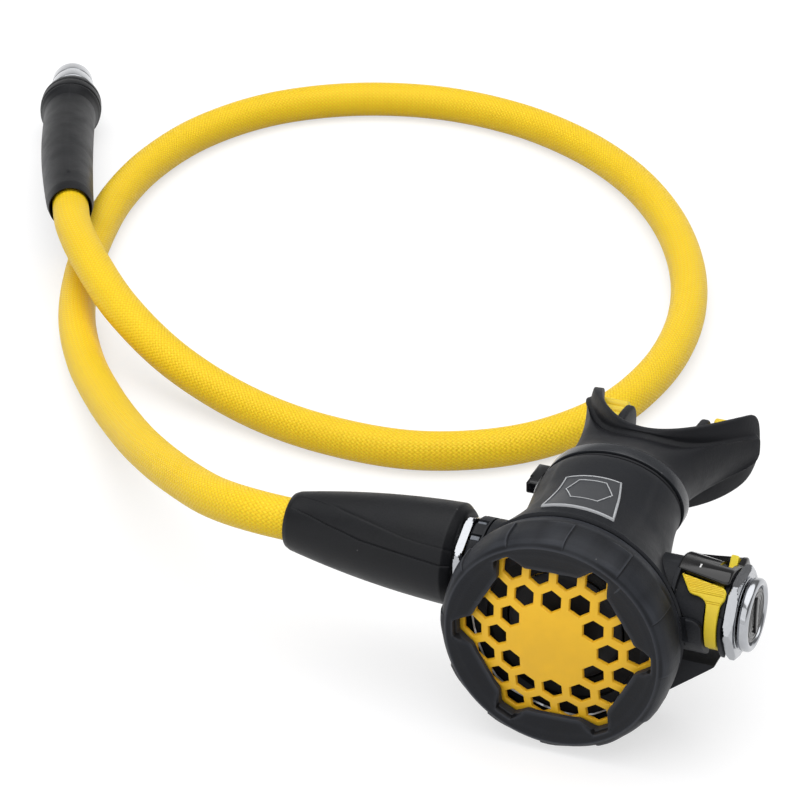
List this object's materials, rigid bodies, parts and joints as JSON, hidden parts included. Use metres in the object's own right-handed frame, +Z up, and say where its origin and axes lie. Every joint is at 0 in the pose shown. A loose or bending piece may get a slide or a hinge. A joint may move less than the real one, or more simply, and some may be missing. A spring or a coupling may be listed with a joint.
{
  "type": "diving regulator second stage with hose",
  "caption": "Balanced diving demand valve with a star-framed honeycomb purge cover, side adjusters, bite mouthpiece and a braided low-pressure hose with its end fitting.",
  "frame": {"origin": "middle of the floor under the second stage, without the hose and what is on it", "axes": "+X towards the adjusting dial, away from the hose inlet; +Y from the purge cover to the mouthpiece; +Z up, as the part stands on its exhaust tee"},
  "size_m": [0.3386, 0.3557, 0.0628],
  "materials": {
    "case_plastic": "fine-grained matte black moulding",
    "ring_plastic": "satin black moulding",
    "yellow_plastic": "satin yellow moulding",
    "yellow_silicone": "smooth yellow silicone",
    "braided_hose": "fine yellow textile braid over a rubber hose",
    "soft_rubber": "matte black silicone",
    "sleeve_rubber": "matte black moulded sleeve",
    "seal_rubber": "smooth black seal rubber",
    "gloss_plastic": "polished black moulding",
    "plate_plastic": "satin dark grey",
    "white_plastic": "plain off-white moulding",
    "chrome": "polished plated metal",
    "brass": "machined",
    "spring_steel": "drawn wire and pressed strip"
  },
  "bodies": {
    "case": {"case_body": "case_plastic", "front_ring": "ring_plastic", "purge_spring": "spring_steel", "diaphragm_clamp_ring": "case_plastic", "diaphragm_skirt": "soft_rubber", "barrel_tube": "brass", "orifice_seat": "brass", "orifice_o_ring": "seal_rubber", "poppet_spring": "spring_steel", "lever_housing": "gloss_plastic", "barrel_nut": "chrome", "inlet_collar": "ring_plastic", "hose_stem": "chrome", "stem_o_ring": "seal_rubber", "inlet_sleeve": "sleeve_rubber", "hose": "braided_hose", "outlet_sleeve": "sleeve_rubber", "first_stage_fitting": "chrome", "fitting_face_o_ring": "seal_rubber", "fitting_tip_o_ring": "seal_rubber", "exhaust_tee": "soft_rubber", "mouthpiece": "soft_rubber", "bite_pad_left": "yellow_silicone", "bite_pad_right": "yellow_silicone", "mouthpiece_tie": "gloss_plastic", "tie_head": "gloss_plastic", "badge_plate": "plate_plastic"},
    "purge": {"purge_cover": "yellow_plastic"},
    "diaphragm": {"diaphragm_plate": "plate_plastic"},
    "lever": {"demand_lever": "spring_steel"},
    "poppet": {"poppet": "white_plastic", "poppet_seat": "seal_rubber"},
    "dial": {"adjuster_dial": "chrome", "dial_face": "case_plastic"},
    "seat_adjuster": {"spring_seat": "brass"},
    "airflow": {"airflow_lever": "yellow_plastic"},
    "swivel": {"swivel_nut": "chrome"},
    "exhaust": {"exhaust_valve": "seal_rubber"}
  },
  "joints": [
    {"name": "purge_press", "type": "slide", "parent": "case", "child": "purge", "axis": [0, 1, 0], "range_m": [0, 0.002], "stiffness_N_per_m": 800, "springref_m": -0.0008, "deforming": ["purge_spring"]},
    {"name": "diaphragm_move", "type": "slide", "parent": "case", "child": "diaphragm", "axis": [0, 1, 0], "range_m": [0, 0.002]},
    {"name": "demand_lever_pivot", "type": "hinge", "parent": "case", "child": "lever", "pos_m": [0.0067, -0.03299, 0.0368], "axis": [0, 0, -1], "range_deg": [0, 9.6]},
    {"name": "poppet_move", "type": "slide", "parent": "case", "child": "poppet", "axis": [1, 0, 0], "range_m": [0, 0.00101], "deforming": ["poppet_spring"]},
    {"name": "dial_turn", "type": "hinge", "parent": "case", "child": "dial", "pos_m": [0.041, -0.02354, 0.0368], "axis": [1, 0, 0], "range_deg": [0, 270]},
    {"name": "spring_seat_move", "type": "slide", "parent": "case", "child": "seat_adjuster", "axis": [-1, 0, 0], "range_m": [0, 0.00094]},
    {"name": "airflow_turn", "type": "hinge", "parent": "case", "child": "airflow", "pos_m": [0.0319, -0.02354, 0.0368], "axis": [1, 0, 0], "range_deg": [0, 28]},
    {"name": "swivel_turn", "type": "hinge", "parent": "case", "child": "swivel", "pos_m": [-0.036, -0.02354, 0.0368], "axis": [1, 0, 0], "continuous": true},
    {"name": "exhaust_valve_lift", "type": "slide", "parent": "case", "child": "exhaust", "axis": [0, 0.6428, -0.766], "range_m": [0, 0.0012], "stiffness_N_per_m": 30, "springref_m": -0.0008}
  ],
  "couplings": [
    {"joint": "diaphragm_move", "follows": "purge_press", "ratio": 1},
    {"joint": "demand_lever_pivot", "follows": "purge_press", "rad_per_m": 83.33},
    {"joint": "poppet_move", "follows": "purge_press", "ratio": 0.5},
    {"joint": "spring_seat_move", "follows": "dial_turn", "m_per_rad": 0.0001989}
  ]
}
